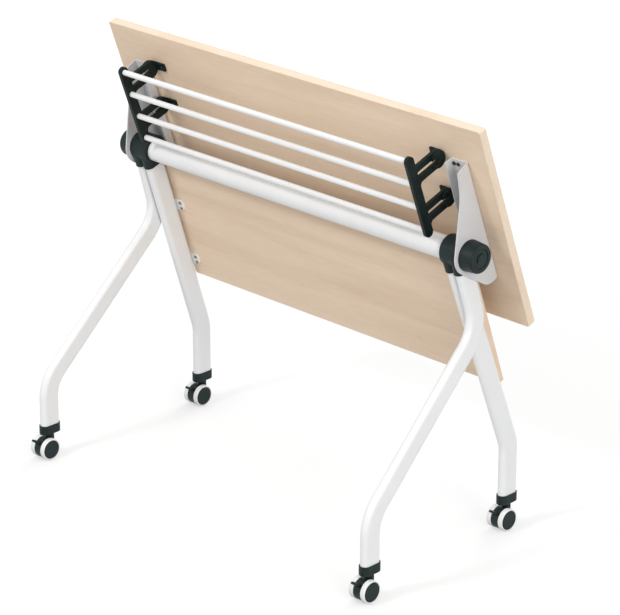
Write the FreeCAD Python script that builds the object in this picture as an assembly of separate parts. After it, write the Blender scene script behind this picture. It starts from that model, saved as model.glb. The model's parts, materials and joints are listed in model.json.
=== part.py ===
import FreeCAD, Part
import math
import os

# Folding training table on casters, shown with its top tipped up for nesting.
# Millimetres and degrees. X runs along the top, the user sits on the -Y side, Z is up.
# Shapes are built with y = 0 on the tilt axis and z = 0 on the floor; save() moves them to
# the origin under the middle of the folded table.

V = FreeCAD.Vector
X_AXIS = V(1, 0, 0)
Z_AXIS = V(0, 0, 1)

# Table top
top_length = 1100.0
top_depth = 495.0
top_thickness = 20.0
top_corner_radius = 5.0
edge_band_thickness = 2.0
user_edge_reach = 279.0
underside_rise = 62.0
tilt_axis_height = 673.0
fold_angle = 70.0

# Beam and hubs
beam_diameter = 50.0
beam_wall = 2.0
hub_set_in = 8.0
hub_length = 50.5
hub_radius = 33.0
hub_rim_chamfer = 2.0
beam_socket_depth = 20.0
boss_reach = 38.0
boss_wall_fore_aft = 3.0
boss_wall_side = 2.5
leg_stop_reach = 36.0
spigot_length = 30.0

# Legs, bent from flat-oval tube
leg_width = 48.0
leg_thickness = 22.0
leg_wall = 2.0
leg_bend_radius = 90.0
leg_pitch = 24.0
leg_axis_forward = 7.0
leg_splay = 20.0
rear_leg_inset = 13.0
rear_foot_reach = 161.5
rear_bend_height = 196.0
front_foot_reach = 289.0
front_bend_height = 179.0
knee_drop = 175.0
knee_back = 46.5

# Modesty panel and the half-round tabs that carry it on the rear legs
panel_overlap = 11.0
panel_thickness = 15.0
panel_top_drop = 39.5
panel_bottom_drop = 367.0
panel_corner_radius = 4.0
panel_gap = 1.5
tab_radius = 15.0
tab_reach = 22.0
tab_thickness = 2.5
tab_drops = (167.0, 322.0)
tab_screw_pitch = 15.0
tab_screw_edge = 10.0

# Folding arms, pressed from sheet steel
arm_set_in = 100.0
arm_width = 47.0
arm_sheet = 3.0
arm_bend_radius = 5.0
arm_top_reach = 192.0
arm_tail_reach = 99.0
arm_inner_flange = 22.0
arm_flange_top = 35.0
arm_flange_waist = 45.0
arm_waist_reach = 130.0
arm_waist_radius = 120.0
arm_end_chamfer = 6.0
arm_rim_radius = 42.0
arm_front_slope = 27.0
arm_tail_slope = 40.0
arm_tail_radius = 30.0
arm_corner_radius = 3.0
arm_screw_reaches = (181.5, 70.0, -78.0)
arm_screw_pitch = 11.0
arm_screw_inset = 13.5

# Book rack under the top
rack_set_in = 28.0
rack_bracket_thickness = 8.0
rack_rod_diameter = 12.5
rack_rod_wall = 1.2
rack_rod_count = 4
rack_rod_pitch = 58.0
rack_low_rod_reach = 59.0
rack_rod_drop = 91.0
rack_rod_socket = 6.0
rack_spine_width = 22.0
rack_spine_overhang = 12.0
rack_loop_reaches = (98.0, 195.0)
rack_loop_width = 40.0
rack_loop_bar = 14.0
rack_loop_fillet = 9.0
rack_eye_rise = 5.0
rack_eye_inset = 1.0
rack_foot_length = 26.0
rack_foot_width = 18.0
rack_foot_thickness = 5.0
rack_foot_screw_inset = 9.0

# Tilt pins, lock knobs and their push buttons
pin_diameter = 12.0
pin_head_diameter = 18.0
pin_head_thickness = 2.7
pin_bury = 25.0
knob_length = 33.0
knob_base_radius = 34.0
knob_shoulder_radius = 31.5
knob_shoulder_length = 30.0
knob_face_radius = 29.5
knob_floor = 3.0
button_radius = 21.0
button_thickness = 12.0
button_recess = 1.0
button_travel = 5.0
button_edge_radius = 1.5
groove_radius = 11.0
groove_width = 4.0
groove_depth = 2.0
groove_span = 140.0
groove_angle = 214.0
plunger_diameter = 5.0
plunger_orbit = 17.5
plunger_angle = 60.0
plunger_engagement = 4.5
track_margin = 4.0
track_depth_margin = 1.5
spring_coil_radius = 11.8
spring_wire = 1.4
spring_turns = 3

# Casters and foot caps
wheel_diameter = 50.0
wheel_width = 12.0
tyre_thickness = 3.5
tyre_edge_radius = 2.0
wheel_disc_proud = 0.6
wheel_web = 2.5
caster_trail = 14.7
caster_body_radius = 24.0
caster_body_width = 19.0
neck_diameter = 19.0
stem_diameter = 10.0
stem_length = 28.0
axle_diameter = 6.0
cap_bottom = 57.5
cap_height = 21.5
cap_wall = 2.5
cap_floor = 3.0
cap_plug_height = 26.0
cap_edge_radius = 2.0
lever_pivot_back = 15.0
lever_pivot_rise = 15.0
lever_pin_diameter = 4.0
lever_pin_length = 16.0
lever_length = 19.0
lever_thickness = 5.5
lever_width = 12.0
lever_tilt = 28.0
lever_travel = 15.0

# Screws
arm_screw_diameter = 4.5
arm_screw_head = 8.5
arm_screw_length = 17.0
rack_screw_diameter = 4.0
rack_screw_head = 8.0
rack_screw_length = 18.0
panel_screw_diameter = 4.0
panel_screw_head = 7.5
panel_screw_length = 14.0
screw_head_height = 2.5
screw_recess_share = 0.45
screw_recess_depth = 1.2

# Clearances
seat_clearance = 0.05
running_clearance = 0.06
rubber_clearance = 0.02
socket_clearance = 0.1
side_clearance = 0.5
rest_gap = 0.3
overcut = 1.0

# Worked-out places
half_length = top_length / 2
far_edge_reach = top_depth - user_edge_reach
arm_inner_x = half_length - arm_set_in
hub_inner_x = arm_inner_x - hub_set_in
rear_leg_top_x = hub_inner_x + rear_leg_inset
panel_length = 2 * (rear_leg_top_x + panel_overlap)
rack_inner_x = arm_inner_x - rack_set_in
hub_outer_x = hub_inner_x + hub_length
beam_half = hub_inner_x + beam_socket_depth
arm_outer_x = arm_inner_x + arm_width
arm_flange_x = arm_outer_x - arm_sheet
front_leg_top_x = rear_leg_top_x + leg_pitch
rear_foot_x = rear_leg_top_x + leg_splay
knee_height = tilt_axis_height - knee_drop
front_foot_x = front_leg_top_x + leg_splay
rack_outer_x = rack_inner_x + rack_bracket_thickness
rack_rod_level = underside_rise - rack_rod_drop
rear_leg_lean = math.degrees(
    math.atan2(rear_foot_reach + leg_axis_forward, tilt_axis_height - rear_bend_height)
)
knob_face_x = arm_outer_x + knob_length
button_face_x = knob_face_x - button_recess
button_back_x = button_face_x - button_thickness
plunger_tip_x = hub_outer_x - plunger_engagement
wheel_radius = wheel_diameter / 2
wheel_inner_x = caster_body_width / 2 + side_clearance
wheel_outer_x = wheel_inner_x + wheel_width
axle_half = wheel_outer_x - wheel_web - side_clearance
leg_end_height = cap_bottom + cap_floor
cap_half_length = leg_width / 2 + cap_wall
lever_tip_back = (
    lever_pivot_back
    + lever_length * math.cos(math.radians(lever_tilt))
    + lever_thickness / 2
)
front_reach = front_foot_reach + caster_trail + lever_tip_back
rear_reach = rear_foot_reach + cap_half_length
origin_shift = (front_reach - rear_reach) / 2


def polar(radius, angle):
    """A point of the YZ plane as (y, z), with the angle turning from +Y towards +Z."""
    return radius * math.cos(math.radians(angle)), radius * math.sin(math.radians(angle))


def rod(radius, start, direction, length):
    return Part.makeCylinder(radius, length, start, direction)


def rod_x(radius, x_start, x_end, y=0.0, z=0.0):
    return rod(radius, V(x_start, y, z), X_AXIS, x_end - x_start)


def block(x_range, y_range, z_range):
    size = [high - low for low, high in (x_range, y_range, z_range)]
    return Part.makeBox(size[0], size[1], size[2], V(x_range[0], y_range[0], z_range[0]))


def rounded_wire(corners):
    """A closed wire in the YZ plane through (y, z, radius) corners, each one rounded."""
    points = [V(0, y, z) for y, z, radius in corners]
    edges = []
    runs = []
    for index, corner in enumerate(corners):
        here = points[index]
        before = (points[index - 1] - here).normalize()
        after = (points[(index + 1) % len(points)] - here).normalize()
        radius = corner[2]
        if radius == 0:
            runs.append((here, here))
            continue
        half_turn = before.getAngle(after) / 2
        setback = radius / math.tan(half_turn)
        bisector = (before + after).normalize()
        middle = here + bisector * (radius / math.sin(half_turn) - radius)
        start = here + before * setback
        end = here + after * setback
        edges.append(Part.Arc(start, middle, end).toShape())
        runs.append((start, end))
    for index, (start, end) in enumerate(runs):
        following = runs[(index + 1) % len(runs)][0]
        edges.append(Part.LineSegment(end, following).toShape())
    return Part.Wire(Part.__sortEdges__(edges))


def plate_x(corners, x_start, x_end):
    """A flat plate with a rounded outline in the YZ plane, from x_start to x_end."""
    face = Part.Face(rounded_wire(corners))
    face.translate(V(x_start, 0, 0))
    return face.extrude(V(x_end - x_start, 0, 0))


def turned_x(profile):
    """A solid turned about the X axis from (x, radius) points."""
    points = [V(x, 0, radius) for x, radius in profile]
    face = Part.Face(Part.makePolygon(points + points[:1]))
    return face.revolve(V(0, 0, 0), X_AXIS, 360)


def sector_x(inner, outer, x_range, angles, y=0.0, z=0.0):
    """A ring sector about an X axis through (y, z), between two angles from +Y to +Z."""
    edge_y, edge_z = polar(1.0, angles[0])
    corners = [V(x_range[0], edge_y * inner, edge_z * inner),
               V(x_range[0], edge_y * outer, edge_z * outer),
               V(x_range[1], edge_y * outer, edge_z * outer),
               V(x_range[1], edge_y * inner, edge_z * inner)]
    face = Part.Face(Part.makePolygon(corners + corners[:1]))
    solid = face.revolve(V(0, 0, 0), X_AXIS, angles[1] - angles[0])
    solid.translate(V(0, y, z))
    return solid


def flat_oval(width, thickness, centre, wide, thin):
    """A flat-oval face with half-round narrow ends; wide and thin are unit directions."""
    straight = (width - thickness) / 2
    radius = thickness / 2
    a = centre + wide * straight + thin * radius
    b = centre + wide * straight - thin * radius
    c = centre - wide * straight - thin * radius
    d = centre - wide * straight + thin * radius
    edges = [
        Part.Arc(a, centre + wide * (straight + radius), b).toShape(),
        Part.LineSegment(b, c).toShape(),
        Part.Arc(c, centre - wide * (straight + radius), d).toShape(),
        Part.LineSegment(d, a).toShape(),
    ]
    return Part.Face(Part.Wire(edges))


def run_frames(points):
    """The direction and the two cross directions of each run, mirrored at every bend."""
    along = (points[1] - points[0]).normalize()
    wide = V(0, 1, 0)
    frames = [(along, wide, along.cross(wide))]
    for here, after in zip(points[1:], points[2:]):
        earlier, wide, thin = frames[-1]
        along = (after - here).normalize()
        mitre = (earlier + along).normalize()
        wide = wide - mitre * (2 * wide.dot(mitre))
        thin = thin - mitre * (2 * thin.dot(mitre))
        frames.append((along, wide, thin))
    return frames


def oval_bar(points, width, thickness):
    """A flat-oval bar along straight runs, with a round bend where two runs meet."""
    frames = run_frames(points)
    start = points[0]
    solids = []
    for corner, frame, later_frame in zip(points[1:], frames, frames[1:]):
        along, wide, thin = frame
        later = later_frame[0]
        turn = along.getAngle(later)
        setback = along * (leg_bend_radius * math.tan(turn / 2))
        face = flat_oval(width, thickness, start, wide, thin)
        solids.append(face.extrude(corner - setback - start))
        hinge = along.cross(later).normalize()
        centre = corner - setback + hinge.cross(along) * leg_bend_radius
        face = flat_oval(width, thickness, corner - setback, wide, thin)
        solids.append(face.revolve(centre, hinge, math.degrees(turn)))
        start = corner + later * setback.Length
    along, wide, thin = frames[-1]
    face = flat_oval(width, thickness, start, wide, thin)
    solids.append(face.extrude(points[-1] - start))
    return solids[0].multiFuse(solids[1:]).removeSplitter()


def mirrored(shape):
    return shape.mirror(V(0, 0, 0), X_AXIS)


def folded(shape):
    """Places a shape of the top, built flat about the tilt axis, in its folded pose."""
    placed = shape.copy()
    placed.rotate(V(0, 0, 0), X_AXIS, -fold_angle)
    placed.translate(V(0, 0, tilt_axis_height))
    return placed


def screw(point, direction, diameter, head, length):
    """A pan-head screw: its head stands out of point, its shank runs along direction."""
    shank = rod(diameter / 2, point, direction, length)
    cap = rod(head / 2, point - direction * screw_head_height, direction, screw_head_height)
    rim = [edge for edge in cap.Edges if edge.CenterOfMass.isEqual(
        point - direction * screw_head_height, rest_gap)]
    cap = cap.makeFillet(screw_head_height / 2, rim)
    recess = rod(head / 2 * screw_recess_share, point - direction * screw_head_height,
                 direction, screw_recess_depth)
    return cap.cut(recess).fuse(shank).removeSplitter()


def screw_hole(point, direction, diameter, depth):
    return rod(diameter / 2 + seat_clearance, point, direction, depth)


def save(name, shape):
    placed = shape.copy()
    placed.translate(V(0, origin_shift, 0))
    placed.exportStep("parts/" + name + ".step")


# The top, built flat: y runs away from the user, z up, with the tilt axis at the origin


def top_slab(inset, corner):
    """The outline of the top, drawn in by inset on every side."""
    y_near = -user_edge_reach + inset
    y_far = far_edge_reach - inset
    slab = block(
        (-half_length + inset, half_length - inset),
        (y_near, y_far),
        (underside_rise, underside_rise + top_thickness),
    )
    upright = [edge for edge in slab.Edges if abs(edge.tangentAt(0).z) > abs(edge.tangentAt(0).x)
               and abs(edge.tangentAt(0).z) > abs(edge.tangentAt(0).y)]
    return slab.makeFillet(corner, upright)


def arm_screw_points():
    points = []
    middle = arm_inner_x + arm_screw_inset
    for reach in arm_screw_reaches:
        for side in (-1, 1):
            x = middle + side * arm_screw_pitch / 2
            points.append(V(x, -reach, underside_rise - arm_sheet))
    return points


def rack_screw_points():
    x = rack_inner_x - rack_foot_length + rack_foot_screw_inset
    level = underside_rise - rack_foot_thickness
    return [V(x, -reach, level) for reach in rack_loop_reaches]


def both_sides(points):
    return points + [V(-point.x, point.y, point.z) for point in points]


def screw_holes(points, diameter, length):
    return [screw_hole(point, Z_AXIS, diameter, length + overcut) for point in points]


def make_board():
    board = top_slab(edge_band_thickness, top_corner_radius - edge_band_thickness)
    holes = screw_holes(both_sides(arm_screw_points()), arm_screw_diameter, arm_screw_length)
    holes += screw_holes(both_sides(rack_screw_points()), rack_screw_diameter, rack_screw_length)
    return board.cut(Part.makeCompound(holes))


def make_edge_band():
    inner = top_slab(edge_band_thickness, top_corner_radius - edge_band_thickness)
    return top_slab(0, top_corner_radius).cut(inner)


def tangent_corner(radius, front_slope, tail_slope):
    """Where two lines meet that touch a circle round the tilt axis, as (y, z)."""
    front = math.radians(front_slope)
    tail = math.radians(tail_slope)
    front_level = -radius / math.cos(front)
    tail_level = -radius / math.cos(tail)
    reach = (tail_level - front_level) / (math.tan(front) + math.tan(tail))
    return -reach, front_level + reach * math.tan(front)


def arm_outline():
    """The outer flange: a channel side that flares to a round about the tilt axis."""
    top_level = underside_rise - arm_flange_top
    waist_level = underside_rise - arm_flange_waist
    rim_y, rim_z = tangent_corner(arm_rim_radius, arm_front_slope, arm_tail_slope)
    tail = math.radians(arm_tail_slope)
    tail_level = -arm_rim_radius / math.cos(tail) + arm_tail_reach * math.tan(tail)
    chamfer_level = underside_rise - arm_end_chamfer
    return [
        (-arm_top_reach, underside_rise, 0),
        (-arm_top_reach, chamfer_level, 0),
        (-arm_top_reach + arm_end_chamfer, top_level, arm_corner_radius),
        (-arm_waist_reach, waist_level, arm_waist_radius),
        (rim_y, rim_z, arm_rim_radius),
        (arm_tail_reach, tail_level, arm_tail_radius),
        (arm_tail_reach, chamfer_level, 0),
        (arm_tail_reach - arm_end_chamfer / 2, underside_rise, 0),
    ]


def bend_waste(edge_x, inward):
    """What a rounded bend leaves off the square edge between the web and a flange."""
    centre_x = edge_x + inward * arm_bend_radius
    x_range = sorted((edge_x - inward * overcut, centre_x))
    y_range = (-arm_top_reach - overcut, arm_tail_reach + overcut)
    level = underside_rise - arm_bend_radius
    corner = block(x_range, y_range, (level, underside_rise + overcut))
    bend = rod(arm_bend_radius, V(centre_x, y_range[0], level), V(0, 1, 0),
               y_range[1] - y_range[0])
    return corner.cut(bend)


def make_arm():
    flange = plate_x(arm_outline(), arm_flange_x, arm_outer_x)
    y_range = (-arm_top_reach, arm_tail_reach - arm_end_chamfer / 2)
    web = block((arm_inner_x, arm_outer_x), y_range, (underside_rise - arm_sheet, underside_rise))
    low = underside_rise - arm_inner_flange
    inner_corners = [
        (y_range[0], underside_rise, 0),
        (y_range[0], low + arm_end_chamfer / 2, 0),
        (y_range[0] + arm_end_chamfer / 2, low, arm_corner_radius),
        (y_range[1] - arm_end_chamfer / 2, low, arm_corner_radius),
        (y_range[1], low + arm_end_chamfer / 2, 0),
        (y_range[1], underside_rise, 0),
    ]
    inner = plate_x(inner_corners, arm_inner_x, arm_inner_x + arm_sheet)
    arm = flange.multiFuse([web, inner]).removeSplitter()
    cuts = screw_holes(arm_screw_points(), arm_screw_diameter, arm_sheet)
    cuts += [bend_waste(arm_outer_x, -1), bend_waste(arm_inner_x, 1)]
    cuts.append(rod_x(pin_diameter / 2 + running_clearance, arm_flange_x - overcut,
                      arm_outer_x + overcut))
    cuts.append(plunger_bore(arm_flange_x - overcut, arm_outer_x + overcut))
    return arm.cut(Part.makeCompound(cuts))


def plunger_bore(x_start, x_end):
    y, z = polar(plunger_orbit, plunger_angle)
    return rod_x(plunger_diameter / 2 + running_clearance, x_start, x_end, y, z)


def rack_rod_reaches():
    return [rack_low_rod_reach + index * rack_rod_pitch for index in range(rack_rod_count)]


def rack_loop(reach):
    """One arm of a rack bracket: an eye-ended loop from the spine up to the underside."""
    radius = rack_loop_width / 2
    root = rack_rod_level
    slot_root = rack_rod_level + rack_spine_width / 2
    slot_end = underside_rise - radius
    slot_half = radius - rack_loop_bar
    outer = [
        (-reach - radius, root, 0),
        (-reach + radius, root, 0),
        (-reach + radius, underside_rise, radius - rest_gap),
        (-reach - radius, underside_rise, radius - rest_gap),
    ]
    slot = [
        (-reach - slot_half, slot_root, slot_half / 2),
        (-reach + slot_half, slot_root, slot_half / 2),
        (-reach + slot_half, slot_end, slot_half / 2),
        (-reach - slot_half, slot_end, slot_half / 2),
    ]
    loop = plate_x(outer, rack_inner_x, rack_outer_x)
    eye_x = rack_outer_x + rack_eye_rise
    eye = rod_x(radius - rack_eye_inset, rack_inner_x, eye_x, -reach, underside_rise - radius)
    window = plate_x(slot, rack_inner_x - overcut, eye_x + overcut)
    foot = block(
        (rack_inner_x - rack_foot_length, rack_inner_x + rack_bracket_thickness / 2),
        (-reach - rack_foot_width / 2, -reach + rack_foot_width / 2),
        (underside_rise - rack_foot_thickness, underside_rise),
    )
    return loop.fuse(eye), window, foot


def loop_corners(bracket):
    """The inner corners between the spine and the lower side of each loop."""
    level = rack_rod_level + rack_spine_width / 2
    found = []
    for reach in rack_loop_reaches:
        corner = V((rack_inner_x + rack_outer_x) / 2, rack_loop_width / 2 - reach, level)
        found += [edge for edge in bracket.Edges
                  if (edge.CenterOfMass - corner).Length < rest_gap]
    return found


def make_rack_bracket():
    reaches = rack_rod_reaches()
    half_width = rack_spine_width / 2
    end_radius = half_width - rest_gap
    low = reaches[0] - rack_spine_overhang
    high = reaches[-1] + rack_spine_overhang
    spine_corners = [
        (-low, rack_rod_level - half_width, end_radius),
        (-low, rack_rod_level + half_width, end_radius),
        (-high, rack_rod_level + half_width, end_radius),
        (-high, rack_rod_level - half_width, end_radius),
    ]
    bracket = plate_x(spine_corners, rack_inner_x, rack_outer_x)
    windows = []
    for reach in rack_loop_reaches:
        loop, window, foot = rack_loop(reach)
        bracket = bracket.multiFuse([loop, foot])
        windows.append(window)
    cuts = windows + screw_holes(rack_screw_points(), rack_screw_diameter, rack_foot_thickness)
    for reach in reaches:
        cuts.append(rod_x(rack_rod_diameter / 2 + seat_clearance, rack_inner_x - overcut,
                          rack_inner_x + rack_rod_socket, -reach, rack_rod_level))
    bracket = bracket.removeSplitter()
    bracket = bracket.makeFillet(rack_loop_fillet, loop_corners(bracket))
    return bracket.cut(Part.makeCompound(cuts))


def make_rack_rods():
    half = rack_inner_x + rack_rod_socket
    rods = []
    for reach in rack_rod_reaches():
        outer = rod_x(rack_rod_diameter / 2, -half, half, -reach, rack_rod_level)
        bore = rod_x(rack_rod_diameter / 2 - rack_rod_wall, -half, half, -reach, rack_rod_level)
        rods.append(outer.cut(bore))
    return Part.makeCompound(rods)


def make_screws(points, direction, diameter, head, length):
    return Part.makeCompound([screw(point, direction, diameter, head, length)
                              for point in points])


# Lock knobs: the housing and button tilt with the top, the pin stays on the hub


def make_knob_housing():
    shoulder_x = arm_outer_x + knob_shoulder_length
    body = turned_x([
        (arm_outer_x, 0),
        (arm_outer_x, knob_base_radius),
        (shoulder_x, knob_shoulder_radius),
        (knob_face_x, knob_face_radius),
        (knob_face_x, 0),
    ])
    well = rod_x(button_radius + running_clearance, arm_outer_x + knob_floor,
                 knob_face_x + overcut)
    pin_hole = rod_x(pin_diameter / 2 + running_clearance, arm_outer_x - overcut,
                     arm_outer_x + knob_floor + overcut)
    bore = plunger_bore(arm_outer_x - overcut, arm_outer_x + knob_floor + overcut)
    return body.cut(Part.makeCompound([well, pin_hole, bore]))


def make_button():
    disc = rod_x(button_radius, button_back_x, button_face_x)
    rim = [edge for edge in disc.Edges if abs(edge.CenterOfMass.x - button_face_x) < rest_gap
           and edge.Length > button_radius]
    disc = disc.makeFillet(button_edge_radius, rim)
    groove = sector_x(groove_radius - groove_width / 2, groove_radius + groove_width / 2,
                      (button_face_x - groove_depth, button_face_x + overcut),
                      (groove_angle - groove_span / 2, groove_angle + groove_span / 2))
    y, z = polar(plunger_orbit, plunger_angle)
    plunger = rod_x(plunger_diameter / 2, plunger_tip_x, button_back_x + overcut, y, z)
    return disc.cut(groove).fuse(plunger).removeSplitter()


def arc_between(start, apex, end):
    """The round arc from start to end whose end tangents meet at apex."""
    middle = (start + end) / 2
    swing = (apex - start).getAngle(end - start)
    return Part.Arc(start, middle + (apex - middle) * (math.tan(swing / 2) / math.tan(swing)), end)


def biarc(start, leave, end, arrive):
    """Two arcs that join smoothly, from start along leave to end along arrive."""
    chord = end - start
    across = chord.dot(leave + arrive)
    bend = 2 * (1 - leave.dot(arrive))
    reach = (math.sqrt(across * across + bend * chord.dot(chord)) - across) / bend
    first = start + leave * reach
    last = end - arrive * reach
    joint = (first + last) / 2
    return [arc_between(start, first, joint).toShape(), arc_between(joint, last, end).toShape()]


def make_button_spring():
    floor_x = arm_outer_x + knob_floor + rest_gap + spring_wire / 2
    free_length = button_back_x - rest_gap - spring_wire / 2 - floor_x
    step = math.radians(90)
    rise = free_length / (360 * spring_turns / 90)
    ends = []
    for index in range(360 * spring_turns // 90 + 1):
        angle = index * step
        place = V(floor_x + index * rise, spring_coil_radius * math.cos(angle),
                  spring_coil_radius * math.sin(angle))
        course = V(rise / step, -spring_coil_radius * math.sin(angle),
                   spring_coil_radius * math.cos(angle))
        ends.append((place, course.normalize()))
    edges = []
    for here, after in zip(ends, ends[1:]):
        edges += biarc(*here, *after)
    wire_circle = Part.Wire(Part.makeCircle(spring_wire / 2, *ends[0]))
    return Part.Wire(edges).makePipeShell([wire_circle], True, False)


def make_tilt_pin():
    head_x = arm_outer_x + knob_floor + rest_gap
    shank = rod_x(pin_diameter / 2, hub_outer_x - pin_bury, head_x)
    head = rod_x(pin_head_diameter / 2, head_x, head_x + pin_head_thickness)
    return shank.fuse(head).removeSplitter()


# The standing frame


def rear_leg_points():
    return [
        V(rear_foot_x, rear_foot_reach, leg_end_height + seat_clearance),
        V(rear_foot_x, rear_foot_reach, rear_bend_height),
        V(rear_leg_top_x, -leg_axis_forward, tilt_axis_height),
    ]


def front_leg_points():
    rise = (knee_height - front_bend_height) / (tilt_axis_height - front_bend_height)
    return [
        V(front_foot_x, -front_foot_reach, leg_end_height + seat_clearance),
        V(front_foot_x, -front_foot_reach, front_bend_height),
        V(front_foot_x - leg_splay * rise, knee_back, knee_height),
        V(front_leg_top_x, -leg_axis_forward, tilt_axis_height),
    ]


def shortened(points, reach):
    """The same runs with the last point drawn back by reach."""
    along = (points[-1] - points[-2]).normalize()
    return points[:-1] + [points[-1] - along * reach]


def make_leg(points):
    runs = shortened(points, leg_stop_reach + seat_clearance)
    outer = oval_bar(runs, leg_width, leg_thickness)
    bore = oval_bar(runs, leg_width - 2 * leg_wall, leg_thickness - 2 * leg_wall)
    return outer.cut(bore)


def leg_end_frame(points):
    """The upper run of a leg: its top, the way down it and its two cross directions."""
    along, wide, thin = run_frames(points)[-1]
    return points[-1], along * -1, wide, thin


def leg_boss(points):
    start, down, wide, thin = leg_end_frame(points)
    face = flat_oval(leg_width + 2 * boss_wall_fore_aft, leg_thickness + 2 * boss_wall_side,
                     start, wide, thin)
    return face.extrude(down * boss_reach)


def leg_pocket(points):
    start, down, wide, thin = leg_end_frame(points)
    face = flat_oval(leg_width + 2 * socket_clearance, leg_thickness + 2 * socket_clearance,
                     start + down * leg_stop_reach, wide, thin)
    return face.extrude(down * boss_reach)


def leg_spigot(points):
    """The tongue of a hub that fills the upper end of a leg tube."""
    start, down, wide, thin = leg_end_frame(points)
    hollow = 2 * leg_wall + 2 * socket_clearance
    face = flat_oval(leg_width - hollow, leg_thickness - hollow,
                     start + down * leg_stop_reach, wide, thin)
    return face.extrude(down * spigot_length)


def make_hub():
    barrel = rod_x(hub_radius, hub_inner_x, hub_outer_x, 0, tilt_axis_height)
    slice_reach = boss_reach + leg_width
    keep = block((hub_inner_x, hub_outer_x), (-slice_reach, slice_reach),
                 (tilt_axis_height - slice_reach, tilt_axis_height + slice_reach))
    bosses = leg_boss(front_leg_points()).fuse(leg_boss(rear_leg_points())).common(keep)
    inner_rim = [edge for edge in barrel.Edges
                 if edge.Closed and edge.CenterOfMass.x < hub_inner_x + rest_gap]
    barrel = barrel.makeChamfer(hub_rim_chamfer, inner_rim)
    hub = barrel.fuse(bosses).removeSplitter()
    cuts = [
        leg_pocket(front_leg_points()),
        leg_pocket(rear_leg_points()),
        rod_x(beam_diameter / 2 + seat_clearance, hub_inner_x - overcut, beam_half,
              0, tilt_axis_height),
        rod_x(pin_diameter / 2 + seat_clearance, hub_outer_x - pin_bury, hub_outer_x + overcut,
              0, tilt_axis_height),
        plunger_track(),
    ]
    hub = hub.cut(Part.makeCompound(cuts))
    spigots = [leg_spigot(front_leg_points()), leg_spigot(rear_leg_points())]
    return hub.multiFuse(spigots).removeSplitter()


def plunger_track():
    """The arc groove in the hub face that the plunger follows as the top tilts."""
    slack = running_clearance + rest_gap
    half_width = plunger_diameter / 2 + slack
    floor_x = plunger_tip_x - button_travel - track_depth_margin
    x_range = (floor_x, hub_outer_x + overcut)
    angles = (plunger_angle - track_margin, plunger_angle + fold_angle + track_margin)
    ring = sector_x(plunger_orbit - half_width, plunger_orbit + half_width, x_range, angles)
    ends = []
    for angle in angles:
        y, z = polar(plunger_orbit, angle)
        ends.append(rod_x(half_width, x_range[0], x_range[1], y, z))
    track = ring.multiFuse(ends).removeSplitter()
    return folded(track)


def make_beam():
    outer = rod_x(beam_diameter / 2, -beam_half, beam_half, 0, tilt_axis_height)
    bore = rod_x(beam_diameter / 2 - beam_wall, -beam_half, beam_half, 0, tilt_axis_height)
    return outer.cut(bore)


def on_rear_leg(shape):
    """Places a shape built about the upright Z axis against the leaning rear legs."""
    placed = shape.copy()
    placed.rotate(V(0, 0, 0), X_AXIS, rear_leg_lean)
    placed.translate(V(0, -leg_axis_forward, tilt_axis_height))
    return placed


def panel_front():
    return leg_width / 2 + panel_gap


def tab_screw_points():
    points = []
    for drop in tab_drops:
        for side in (-1, 1):
            level = -drop + side * tab_screw_pitch / 2
            points.append(V(tab_edge_x(drop) + tab_screw_edge, panel_front() - tab_thickness,
                            level))
    return points


def tab_edge_x(drop):
    """The inner end of a tab, tab_reach inside the rear leg at that drop."""
    share = drop / (tilt_axis_height - rear_bend_height)
    return rear_leg_top_x + leg_splay * share - leg_thickness / 2 - tab_reach


def make_panel():
    y_front = panel_front()
    half = panel_length / 2
    panel = block((-half, half), (y_front, y_front + panel_thickness),
                  (-panel_bottom_drop, -panel_top_drop))
    corners = [edge for edge in panel.Edges if abs(edge.tangentAt(0).y) > abs(edge.tangentAt(0).x)
               and abs(edge.tangentAt(0).y) > abs(edge.tangentAt(0).z)]
    panel = panel.makeFillet(panel_corner_radius, corners)
    holes = [screw_hole(point, V(0, 1, 0), panel_screw_diameter, panel_screw_length)
             for point in both_sides(tab_screw_points())]
    return on_rear_leg(panel.cut(Part.makeCompound(holes)))


def make_panel_tabs(legs):
    y_front = panel_front()
    tabs = []
    for drop in tab_drops:
        edge_x = tab_edge_x(drop)
        nose = Part.makeCylinder(tab_radius, tab_thickness,
                                 V(edge_x + tab_radius, y_front - tab_thickness, -drop),
                                 V(0, 1, 0))
        strap = block((edge_x + tab_radius, edge_x + tab_reach + leg_thickness / 2),
                      (y_front - tab_thickness, y_front),
                      (-drop - tab_radius, -drop + tab_radius))
        tabs.append(nose.fuse(strap).removeSplitter())
    holes = [screw_hole(point, V(0, 1, 0), panel_screw_diameter, tab_thickness)
             for point in tab_screw_points()]
    right = [tab.cut(Part.makeCompound(holes)) for tab in tabs]
    placed = [on_rear_leg(tab) for tab in right + [mirrored(tab) for tab in right]]
    trimmed = [tab.cut(Part.makeCompound(legs)) for tab in placed]
    return Part.makeCompound([largest_solid(tab) for tab in trimmed])


def largest_solid(shape):
    return max(shape.Solids, key=lambda solid: solid.Volume)


# Feet and casters, built about their own upright stem axis


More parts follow.
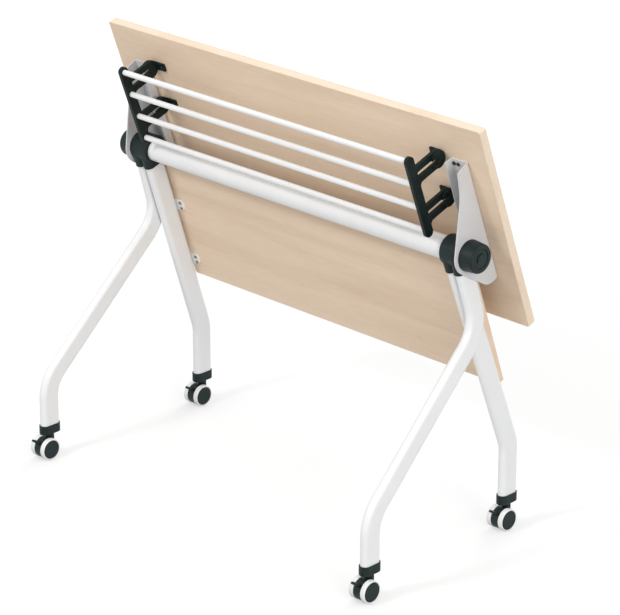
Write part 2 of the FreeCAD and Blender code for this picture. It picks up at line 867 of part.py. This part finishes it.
def make_foot_cap():
    wide = V(0, 1, 0)
    thin = X_AXIS
    low = V(0, 0, cap_bottom)
    shell = flat_oval(leg_width + 2 * cap_wall, leg_thickness + 2 * cap_wall, low, wide, thin)
    cup = shell.extrude(V(0, 0, cap_height))
    base = [edge for edge in cup.Edges if abs(edge.CenterOfMass.z - cap_bottom) < rest_gap]
    cup = cup.makeFillet(cap_edge_radius, base)
    floor = V(0, 0, leg_end_height)
    hollow = flat_oval(leg_width + 2 * seat_clearance, leg_thickness + 2 * seat_clearance,
                       floor, wide, thin).extrude(V(0, 0, cap_height))
    bore_width = leg_width - 2 * leg_wall - 2 * socket_clearance
    bore_thickness = leg_thickness - 2 * leg_wall - 2 * socket_clearance
    plug = flat_oval(bore_width, bore_thickness, floor, wide, thin)
    plug = plug.extrude(V(0, 0, cap_plug_height))
    stem_hole = rod(stem_diameter / 2 + running_clearance, V(0, 0, cap_bottom - overcut),
                    Z_AXIS, stem_length + 2 * overcut)
    return cup.cut(hollow).fuse(plug).removeSplitter().cut(stem_hole)


def axle_point():
    return V(0, -caster_trail, wheel_radius)


def lever_pivot():
    return axle_point() + V(0, -lever_pivot_back, lever_pivot_rise)


def make_caster_body():
    axle = axle_point()
    half = caster_body_width / 2
    disc = rod_x(caster_body_radius, -half, half, axle.y, axle.z)
    neck_top = cap_bottom - rest_gap
    neck = rod(neck_diameter / 2, V(0, 0, axle.z), Z_AXIS, neck_top - axle.z)
    stem = rod(stem_diameter / 2, V(0, 0, axle.z), Z_AXIS, cap_bottom + stem_length - axle.z)
    body = disc.multiFuse([neck, stem]).removeSplitter()
    pivot = lever_pivot()
    slot_half = lever_width / 2 + side_clearance
    slot_radius = lever_thickness / 2 + side_clearance
    cuts = [
        rod_x(axle_diameter / 2 + seat_clearance, -half - overcut, half + overcut,
              axle.y, axle.z),
        rod_x(lever_pin_diameter / 2 + running_clearance, -half - overcut, half + overcut,
              pivot.y, pivot.z),
        rod_x(slot_radius, -slot_half, slot_half, pivot.y, pivot.z),
        lever_slot(slot_half, slot_radius),
    ]
    return body.cut(Part.makeCompound(cuts))


def lever_slot(slot_half, slot_radius):
    """The opening that the brake lever sweeps through, from rest to pressed."""
    pivot = lever_pivot()
    rest_angle = 180 - lever_tilt
    sweep = sector_x(0.0, lever_length, (-slot_half, slot_half),
                     (rest_angle, rest_angle + lever_travel), pivot.y, pivot.z)
    channels = [lever_bar(slot_half, slot_radius, lever_tilt),
                lever_bar(slot_half, slot_radius, lever_tilt - lever_travel)]
    return sweep.multiFuse(channels).removeSplitter()


def lever_bar(half_width, half_thickness, tilt):
    """A round-ended bar from the lever's pivot to its tip, at the given tilt."""
    pivot = lever_pivot()
    bar = block((-half_width, half_width), (0, lever_length), (-half_thickness, half_thickness))
    bar = bar.fuse(rod_x(half_thickness, -half_width, half_width, lever_length))
    bar.rotate(V(0, 0, 0), X_AXIS, 180 - tilt)
    bar.translate(pivot)
    return bar.removeSplitter()


def make_brake_lever():
    pivot = lever_pivot()
    bar = lever_bar(lever_width / 2, lever_thickness / 2, lever_tilt)
    knuckle = rod_x(lever_thickness / 2, -lever_width / 2, lever_width / 2, pivot.y, pivot.z)
    pin = rod_x(lever_pin_diameter / 2, -lever_pin_length / 2, lever_pin_length / 2,
                pivot.y, pivot.z)
    return bar.multiFuse([knuckle, pin]).removeSplitter()


def make_axle():
    axle = axle_point()
    return rod_x(axle_diameter / 2, -axle_half, axle_half, axle.y, axle.z)


def make_wheel_disc():
    radius = wheel_radius - tyre_thickness - rubber_clearance
    face_x = wheel_outer_x + wheel_disc_proud
    profile = [
        (wheel_inner_x, 0),
        (wheel_inner_x, radius),
        (wheel_outer_x, radius),
        (face_x, radius - 2 * wheel_disc_proud),
        (face_x, 0),
    ]
    disc = turned_x(profile)
    bore = rod_x(axle_diameter / 2 + running_clearance, wheel_inner_x - overcut,
                 wheel_outer_x - wheel_web)
    return on_axle(disc.cut(bore))


def make_tyre():
    ring = rod_x(wheel_radius, wheel_inner_x, wheel_outer_x)
    rims = [edge for edge in ring.Edges if edge.Closed]
    ring = ring.makeFillet(tyre_edge_radius, rims)
    return on_axle(ring.cut(rod_x(wheel_radius - tyre_thickness, wheel_inner_x - overcut,
                                  wheel_outer_x + overcut)))


def on_axle(shape):
    placed = shape.copy()
    placed.translate(axle_point())
    return placed


def caster_sites():
    return {
        "front_right": V(front_foot_x, -front_foot_reach, 0),
        "front_left": V(-front_foot_x, -front_foot_reach, 0),
        "rear_right": V(rear_foot_x, rear_foot_reach, 0),
        "rear_left": V(-rear_foot_x, rear_foot_reach, 0),
    }


def moved(shape, offset):
    placed = shape.copy()
    placed.translate(offset)
    return placed


def save_pair(name, shape):
    save(name + "_right", shape)
    save(name + "_left", mirrored(shape))


def save_top():
    save("tabletop_board", folded(make_board()))
    save("tabletop_edge_band", folded(make_edge_band()))
    save_pair("folding_arm", folded(make_arm()))
    save_pair("rack_bracket", folded(make_rack_bracket()))
    save("rack_rods", folded(make_rack_rods()))
    arm_screws = make_screws(both_sides(arm_screw_points()), Z_AXIS, arm_screw_diameter,
                             arm_screw_head, arm_screw_length)
    save("arm_screws", folded(arm_screws))
    rack_screws = make_screws(both_sides(rack_screw_points()), Z_AXIS, rack_screw_diameter,
                              rack_screw_head, rack_screw_length)
    save("rack_screws", folded(rack_screws))
    save_pair("lock_knob_housing", folded(make_knob_housing()))
    save_pair("release_button", folded(make_button()))
    save_pair("button_spring", folded(make_button_spring()))


def save_frame():
    front_leg = make_leg(front_leg_points())
    rear_leg = make_leg(rear_leg_points())
    save_pair("front_leg", front_leg)
    save_pair("rear_leg", rear_leg)
    save_pair("hub", make_hub())
    tilt_pin = make_tilt_pin()
    tilt_pin.translate(V(0, 0, tilt_axis_height))
    save_pair("tilt_pin", tilt_pin)
    save("beam", make_beam())
    save("modesty_panel", make_panel())
    save("panel_tabs", make_panel_tabs([rear_leg, mirrored(rear_leg)]))
    panel_screws = make_screws(both_sides(tab_screw_points()), V(0, 1, 0), panel_screw_diameter,
                               panel_screw_head, panel_screw_length)
    save("panel_screws", on_rear_leg(panel_screws))


def save_casters():
    pieces = {
        "foot_cap": make_foot_cap(),
        "caster_body": make_caster_body(),
        "caster_axle": make_axle(),
        "brake_lever": make_brake_lever(),
        "wheel_disc_a": make_wheel_disc(),
        "wheel_disc_b": mirrored(make_wheel_disc()),
        "tyre_a": make_tyre(),
        "tyre_b": mirrored(make_tyre()),
    }
    for site, offset in caster_sites().items():
        for name, shape in pieces.items():
            save(name + "_" + site, moved(shape, offset))


os.makedirs("parts", exist_ok=True)
save_top()
save_frame()
save_casters()
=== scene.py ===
import json
import math

import bpy
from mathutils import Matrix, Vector


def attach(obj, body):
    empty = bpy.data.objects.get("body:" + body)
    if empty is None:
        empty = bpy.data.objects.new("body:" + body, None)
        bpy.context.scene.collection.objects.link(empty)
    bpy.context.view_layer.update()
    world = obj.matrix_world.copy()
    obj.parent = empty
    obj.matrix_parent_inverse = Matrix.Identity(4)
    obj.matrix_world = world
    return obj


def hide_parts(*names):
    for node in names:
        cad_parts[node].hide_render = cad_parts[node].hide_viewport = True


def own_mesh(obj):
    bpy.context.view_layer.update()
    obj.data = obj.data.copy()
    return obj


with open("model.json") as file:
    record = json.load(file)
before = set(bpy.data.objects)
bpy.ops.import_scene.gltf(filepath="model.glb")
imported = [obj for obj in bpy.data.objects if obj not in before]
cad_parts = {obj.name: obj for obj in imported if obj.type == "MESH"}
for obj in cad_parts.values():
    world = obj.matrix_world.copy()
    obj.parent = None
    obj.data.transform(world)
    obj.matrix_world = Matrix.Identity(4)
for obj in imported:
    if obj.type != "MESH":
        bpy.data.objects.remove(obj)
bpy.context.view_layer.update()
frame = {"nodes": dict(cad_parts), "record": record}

# Colours, as linear red, green and blue: the lighter and darker tones of each finish.
WOOD_LIGHT = (0.832, 0.662, 0.505)
WOOD_MID = (0.795, 0.623, 0.468)
WOOD_DARK = (0.738, 0.569, 0.414)
WOOD_FIBRE = (0.966, 0.957, 0.940)
WOOD_PORE = (0.800, 0.750, 0.690)
BAND_LIGHT = (0.827, 0.687, 0.541)
BAND_DARK = (0.779, 0.631, 0.482)
WHITE_LIGHT = (0.818, 0.822, 0.826)
WHITE_DARK = (0.790, 0.794, 0.799)
ARM_LIGHT = (0.650, 0.651, 0.657)
ARM_DARK = (0.605, 0.607, 0.614)
TAB_LIGHT = (0.850, 0.842, 0.822)
TAB_DARK = (0.800, 0.792, 0.772)
PLASTIC_LIGHT = (0.0120, 0.0240, 0.0240)
PLASTIC_DARK = (0.0068, 0.0142, 0.0142)
RACK_LIGHT = (0.0085, 0.0172, 0.0160)
RACK_DARK = (0.0048, 0.0100, 0.0092)
TYRE_LIGHT = (0.850, 0.850, 0.842)
TYRE_DARK = (0.780, 0.780, 0.770)
STEEL_LIGHT = (0.560, 0.565, 0.570)
STEEL_DARK = (0.400, 0.405, 0.410)
BLACK_STEEL_LIGHT = (0.075, 0.078, 0.080)
BLACK_STEEL_DARK = (0.045, 0.047, 0.048)
DULL_STEEL_LIGHT = (0.330, 0.315, 0.292)
DULL_STEEL_DARK = (0.215, 0.205, 0.190)
NO_TINT = (1.0, 1.0, 1.0)
PURE_WHITE = (1.0, 1.0, 1.0, 1.0)

# How a pattern is scaled along each axis. Lines run along the axes with the smaller scale.
EVEN = (1.0, 1.0, 1.0)
LAMINATE_STRETCH = (1.6, 17.0, 17.0)
BAND_STRETCH = (4.0, 9.0, 9.0)
TOOL_STRETCH = (40.0, 1.0, 1.0)

# Where noise reaches its darker and its lighter tone, and the range that spread() widens.
TONE_LOW = 0.35
TONE_HIGH = 0.65
NOISE_LOW = 0.3
NOISE_HIGH = 0.7

# Rounded edges: bevel widths in metres, by the start of the nodes' names.
EDGE_WIDTHS = {
    "tabletop_edge_band": 0.0018,
    "modesty_panel": 0.0012,
    "rack_bracket": 0.0022,
    "folding_arm": 0.0008,
    "hub": 0.0010,
    "lock_knob_housing": 0.0010,
    "foot_cap": 0.0010,
    "caster_body": 0.0006,
    "brake_lever": 0.0008,
    "tyre": 0.0010,
    "wheel_disc": 0.0006,
    "panel_tabs": 0.0004,
}
EDGE_SEGMENTS = 3
WELD_REACH = 0.00001
FLAT_ANGLE = math.radians(0.4)
SHARP_ANGLE = math.radians(35.0)

# Camera, fitted to the photograph's edges.
CAMERA_PLACE = (4.3621, -4.2895, 2.8940)
CAMERA_TURN = (math.radians(68.14), 0.0, math.radians(44.71))
CAMERA_LENS = 177.86
CAMERA_SENSOR = 36.0

# Lamps: place, diameter and power. All of them point at AIM.
AIM = (0.0, 0.0, 0.55)
LAMPS = {
    "key": ((-1.0, -4.3, 3.9), 1.1, 92.0),
    "fill": ((8.0, -2.8, 3.0), 5.0, 290.0),
    "top": ((0.2, -0.6, 5.0), 2.4, 26.0),
    "back": ((-1.8, 5.0, 2.6), 3.2, 105.0),
}
WORLD_STRENGTH = 0.73

# Floor: it glows a little to the camera, and more far from the table, up to plain white.
FLOOR_HALF = 15.0
FLOOR_TONE = (0.45, 0.45, 0.45, 1.0)
FLOOR_ROUGH = 0.9
FLOOR_NEAR = 1.6
FLOOR_FAR = 6.0
FLOOR_GLOW_NEAR = 0.50
FLOOR_GLOW_FAR = 0.80


def new_material(name):
    material = bpy.data.materials.new(name)
    material.use_nodes = True
    tree = material.node_tree
    return material, tree, tree.nodes["Principled BSDF"]


def space(tree, stretch):
    """The piece's own coordinates in metres, scaled along each axis."""
    place = tree.nodes.new("ShaderNodeTexCoord")
    mapping = tree.nodes.new("ShaderNodeMapping")
    mapping.inputs["Scale"].default_value = stretch
    tree.links.new(place.outputs["Object"], mapping.inputs["Vector"])
    return mapping.outputs["Vector"]


def noise(tree, vector, scale, detail, distortion=0.0):
    node = tree.nodes.new("ShaderNodeTexNoise")
    node.inputs["Scale"].default_value = scale
    node.inputs["Detail"].default_value = detail
    node.inputs["Distortion"].default_value = distortion
    tree.links.new(vector, node.inputs["Vector"])
    return node.outputs["Fac"]


def ramp(tree, factor, *stops):
    """Stops are (position, colour) pairs."""
    node = tree.nodes.new("ShaderNodeValToRGB")
    elements = node.color_ramp.elements
    while len(elements) < len(stops):
        elements.new(1.0)
    for element, (position, colour) in zip(elements, stops):
        element.position = position
        element.color = (*colour, 1.0)
    tree.links.new(factor, node.inputs["Fac"])
    return node.outputs["Color"]


def two_tone(tree, factor, light, dark):
    return ramp(tree, factor, (TONE_LOW, dark), (TONE_HIGH, light))


def spread(tree, factor, low, high):
    """Noise's middle range spread to the range low to high."""
    node = tree.nodes.new("ShaderNodeMapRange")
    node.inputs["From Min"].default_value = NOISE_LOW
    node.inputs["From Max"].default_value = NOISE_HIGH
    node.inputs["To Min"].default_value = low
    node.inputs["To Max"].default_value = high
    tree.links.new(factor, node.inputs["Value"])
    return node.outputs["Result"]


def multiply(tree, first, second):
    node = tree.nodes.new("ShaderNodeMix")
    node.data_type = "RGBA"
    node.blend_type = "MULTIPLY"
    node.inputs["Factor"].default_value = 1.0
    colours = [socket for socket in node.inputs if socket.type == "RGBA"]
    tree.links.new(first, colours[0])
    tree.links.new(second, colours[1])
    return [socket for socket in node.outputs if socket.type == "RGBA"][0]


def bump(tree, height, strength, distance, under=None):
    """A bumped normal, on top of the normal under if there is one."""
    node = tree.nodes.new("ShaderNodeBump")
    node.inputs["Strength"].default_value = strength
    node.inputs["Distance"].default_value = distance
    tree.links.new(height, node.inputs["Height"])
    if under is not None:
        tree.links.new(under, node.inputs["Normal"])
    return node.outputs["Normal"]


def finish(tree, shader, colour, rough, normal):
    tree.links.new(colour, shader.inputs["Base Color"])
    tree.links.new(rough, shader.inputs["Roughness"])
    tree.links.new(normal, shader.inputs["Normal"])


def wood(name, light, mid, dark, stretch):
    """Pale laminate: broad figure, fine fibres and a few short pores along the grain."""
    material, tree, shader = new_material(name)
    along = space(tree, stretch)
    figure = noise(tree, along, scale=1.0, detail=4.0, distortion=0.5)
    fibre = noise(tree, along, scale=14.0, detail=3.0)
    pore = noise(tree, along, scale=26.0, detail=1.0)
    colour = ramp(tree, figure, (0.30, dark), (0.50, mid), (0.70, light))
    fibres = ramp(tree, fibre, (0.35, WOOD_FIBRE), (0.62, NO_TINT))
    pores = ramp(tree, pore, (0.20, WOOD_PORE), (0.25, NO_TINT))
    colour = multiply(tree, multiply(tree, colour, fibres), pores)
    rough = spread(tree, fibre, low=0.54, high=0.44)
    fibre_normal = bump(tree, fibre, strength=0.06, distance=0.0004)
    normal = bump(tree, pores, strength=0.15, distance=0.0002, under=fibre_normal)
    finish(tree, shader, colour, rough, normal)
    shader.inputs["Specular IOR Level"].default_value = 0.30
    return material


def coat(name, light, dark, rough, peel):
    """Powder coat: a slightly uneven tone and an orange-peel surface."""
    material, tree, shader = new_material(name)
    plain = space(tree, EVEN)
    cloud = noise(tree, plain, scale=9.0, detail=4.0)
    grain = noise(tree, plain, scale=420.0, detail=2.0)
    finish(
        tree,
        shader,
        two_tone(tree, cloud, light, dark),
        spread(tree, grain, low=rough - 0.05, high=rough + 0.05),
        bump(tree, grain, strength=peel, distance=0.0003),
    )
    shader.inputs["Specular IOR Level"].default_value = 0.45
    return material


def moulded(name, light, dark, rough, grain_scale, shine):
    """Moulded plastic: a fine spark-eroded texture, a little polished in places."""
    material, tree, shader = new_material(name)
    plain = space(tree, EVEN)
    cloud = noise(tree, plain, scale=30.0, detail=4.0)
    grain = noise(tree, plain, scale=grain_scale, detail=2.0)
    finish(
        tree,
        shader,
        two_tone(tree, cloud, light, dark),
        spread(tree, cloud, low=rough - 0.06, high=rough + 0.06),
        bump(tree, grain, strength=0.25, distance=0.0002),
    )
    shader.inputs["Specular IOR Level"].default_value = shine
    return material


def metal(name, light, dark, rough):
    """Plated steel with fine tool marks."""
    material, tree, shader = new_material(name)
    mark = noise(tree, space(tree, TOOL_STRETCH), scale=120.0, detail=3.0)
    finish(
        tree,
        shader,
        two_tone(tree, mark, light, dark),
        spread(tree, mark, low=rough - 0.08, high=rough + 0.08),
        bump(tree, mark, strength=0.1, distance=0.0001),
    )
    shader.inputs["Metallic"].default_value = 1.0
    return material


# One finish for each of the record's material slots.
finishes = {
    "laminate": wood("laminate", WOOD_LIGHT, WOOD_MID, WOOD_DARK, LAMINATE_STRETCH),
    "edge_band": wood("edge_band", BAND_LIGHT, BAND_LIGHT, BAND_DARK, BAND_STRETCH),
    "white_paint": coat("white_paint", WHITE_LIGHT, WHITE_DARK, rough=0.36, peel=0.10),
    "arm_paint": coat("arm_paint", ARM_LIGHT, ARM_DARK, rough=0.40, peel=0.12),
    "tab_paint": coat("tab_paint", TAB_LIGHT, TAB_DARK, rough=0.40, peel=0.12),
    "dark_plastic": moulded(
        "dark_plastic", PLASTIC_LIGHT, PLASTIC_DARK, rough=0.46, grain_scale=900.0, shine=0.20
    ),
    "white_tyre": moulded(
        "white_tyre", TYRE_LIGHT, TYRE_DARK, rough=0.50, grain_scale=500.0, shine=0.20
    ),
    "pin_steel": metal("pin_steel", STEEL_LIGHT, STEEL_DARK, rough=0.28),
    "spring_steel": metal("spring_steel", STEEL_LIGHT, STEEL_DARK, rough=0.32),
    "screw_steel": metal("screw_steel", STEEL_LIGHT, STEEL_DARK, rough=0.34),
}

# Nodes that differ in tone from the rest of their slot.
black_screws = metal("black_screws", BLACK_STEEL_LIGHT, BLACK_STEEL_DARK, rough=0.42)
dull_screws = metal("dull_screws", DULL_STEEL_LIGHT, DULL_STEEL_DARK, rough=0.40)
rack_plastic = moulded(
    "rack_plastic", RACK_LIGHT, RACK_DARK, rough=0.44, grain_scale=900.0, shine=0.15
)
own_finish = {
    "arm_screws": black_screws,
    "rack_screws": black_screws,
    "panel_screws": dull_screws,
    "rack_bracket_left": rack_plastic,
    "rack_bracket_right": rack_plastic,
}


def paint(piece, material):
    for holder in piece.material_slots:
        holder.link = "OBJECT"
        holder.material = material


slot_of = {row["node"]: row["material_slot"] for row in frame["record"]["subparts"]}
for name, piece in frame["nodes"].items():
    paint(piece, own_finish.get(name, finishes[slot_of[name]]))


def round_edges(piece, width):
    """Rounds sharp edges: joins the faces, clears the lines inside flat ones, then bevels."""
    weld = piece.modifiers.new("weld", "WELD")
    weld.merge_threshold = WELD_REACH
    flat = piece.modifiers.new("flat", "DECIMATE")
    flat.decimate_type = "DISSOLVE"
    flat.angle_limit = FLAT_ANGLE
    edge = piece.modifiers.new("edge", "BEVEL")
    edge.width = width
    edge.segments = EDGE_SEGMENTS
    edge.limit_method = "ANGLE"
    edge.angle_limit = SHARP_ANGLE
    edge.use_clamp_overlap = True
    even = piece.modifiers.new("even", "WEIGHTED_NORMAL")
    even.keep_sharp = False


for start, width in EDGE_WIDTHS.items():
    for name, piece in frame["nodes"].items():
        if name.startswith(start):
            round_edges(piece, width)


def add_object(name, data):
    added = bpy.data.objects.new(name, data)
    bpy.context.scene.collection.objects.link(added)
    return added


def push_spring(side):
    """A copy of a button's spring, put in place of the original and carried by the top."""
    node = "button_spring_" + side
    source = frame["nodes"][node]
    spring = add_object("push_spring_" + side, source.data.copy())
    spring.matrix_world = source.matrix_world
    paint(spring, finishes["spring_steel"])
    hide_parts(node)
    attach(spring, "top")
    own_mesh(spring)


push_spring("right")
push_spring("left")

for name, (place, size, power) in LAMPS.items():
    lamp_data = bpy.data.lights.new(name, "AREA")
    lamp_data.shape = "DISK"
    lamp_data.size = size
    lamp_data.energy = power
    lamp = add_object(name, lamp_data)
    lamp.location = place
    aim = Vector(AIM) - Vector(place)
    lamp.rotation_euler = aim.to_track_quat("-Z", "Y").to_euler()


def larger(tree, first, second):
    node = tree.nodes.new("ShaderNodeMath")
    node.operation = "MAXIMUM"
    tree.links.new(first, node.inputs[0])
    tree.links.new(second, node.inputs[1])
    return node.outputs[0]


def seen_directly(tree):
    """One for what the camera sees, directly or by a mirror or through glass."""
    path = tree.nodes.new("ShaderNodeLightPath").outputs
    either = larger(tree, path["Is Camera Ray"], path["Is Glossy Ray"])
    return larger(tree, either, path["Is Transmission Ray"])


# The world lights the table evenly, and looks plain white.
world = bpy.data.worlds.new("studio")
world.use_nodes = True
bpy.context.scene.world = world
world_tree = world.node_tree
world_light = world_tree.nodes["Background"]
world_light.inputs["Color"].default_value = PURE_WHITE
world_light.inputs["Strength"].default_value = WORLD_STRENGTH
world_seen = world_tree.nodes.new("ShaderNodeBackground")
world_seen.inputs["Color"].default_value = PURE_WHITE
world_mix = world_tree.nodes.new("ShaderNodeMixShader")
world_out = world_tree.nodes["World Output"]
world_tree.links.new(seen_directly(world_tree), world_mix.inputs["Fac"])
world_tree.links.new(world_light.outputs[0], world_mix.inputs[1])
world_tree.links.new(world_seen.outputs[0], world_mix.inputs[2])
world_tree.links.new(world_mix.outputs[0], world_out.inputs["Surface"])

floor_mesh = bpy.data.meshes.new("floor")
floor_corners = [
    (-FLOOR_HALF, -FLOOR_HALF, 0.0),
    (FLOOR_HALF, -FLOOR_HALF, 0.0),
    (FLOOR_HALF, FLOOR_HALF, 0.0),
    (-FLOOR_HALF, FLOOR_HALF, 0.0),
]
floor_mesh.from_pydata(floor_corners, [], [(0, 1, 2, 3)])
floor = add_object("floor", floor_mesh)
floor_material, floor_tree, floor_shader = new_material("floor")
floor_shader.inputs["Base Color"].default_value = FLOOR_TONE
floor_shader.inputs["Roughness"].default_value = FLOOR_ROUGH
floor_shader.inputs["Specular IOR Level"].default_value = 0.0
floor_shader.inputs["Emission Color"].default_value = PURE_WHITE
floor_place = floor_tree.nodes.new("ShaderNodeTexCoord")
floor_reach = floor_tree.nodes.new("ShaderNodeVectorMath")
floor_reach.operation = "LENGTH"
floor_tree.links.new(floor_place.outputs["Object"], floor_reach.inputs[0])
floor_fade = floor_tree.nodes.new("ShaderNodeMapRange")
floor_fade.inputs["From Min"].default_value = FLOOR_NEAR
floor_fade.inputs["From Max"].default_value = FLOOR_FAR
floor_fade.inputs["To Min"].default_value = FLOOR_GLOW_NEAR
floor_fade.inputs["To Max"].default_value = FLOOR_GLOW_FAR
floor_tree.links.new(floor_reach.outputs["Value"], floor_fade.inputs["Value"])
floor_glow = floor_tree.nodes.new("ShaderNodeMath")
floor_glow.operation = "MULTIPLY"
floor_tree.links.new(seen_directly(floor_tree), floor_glow.inputs[0])
floor_tree.links.new(floor_fade.outputs["Result"], floor_glow.inputs[1])
floor_tree.links.new(floor_glow.outputs[0], floor_shader.inputs["Emission Strength"])
floor_mesh.materials.append(floor_material)

camera_data = bpy.data.cameras.new("camera")
camera_data.lens = CAMERA_LENS
camera_data.sensor_width = CAMERA_SENSOR
camera_data.sensor_fit = "HORIZONTAL"
camera = add_object("camera", camera_data)
camera.location = CAMERA_PLACE
camera.rotation_euler = CAMERA_TURN
bpy.context.scene.camera = camera

bpy.context.scene.view_settings.view_transform = "Standard"
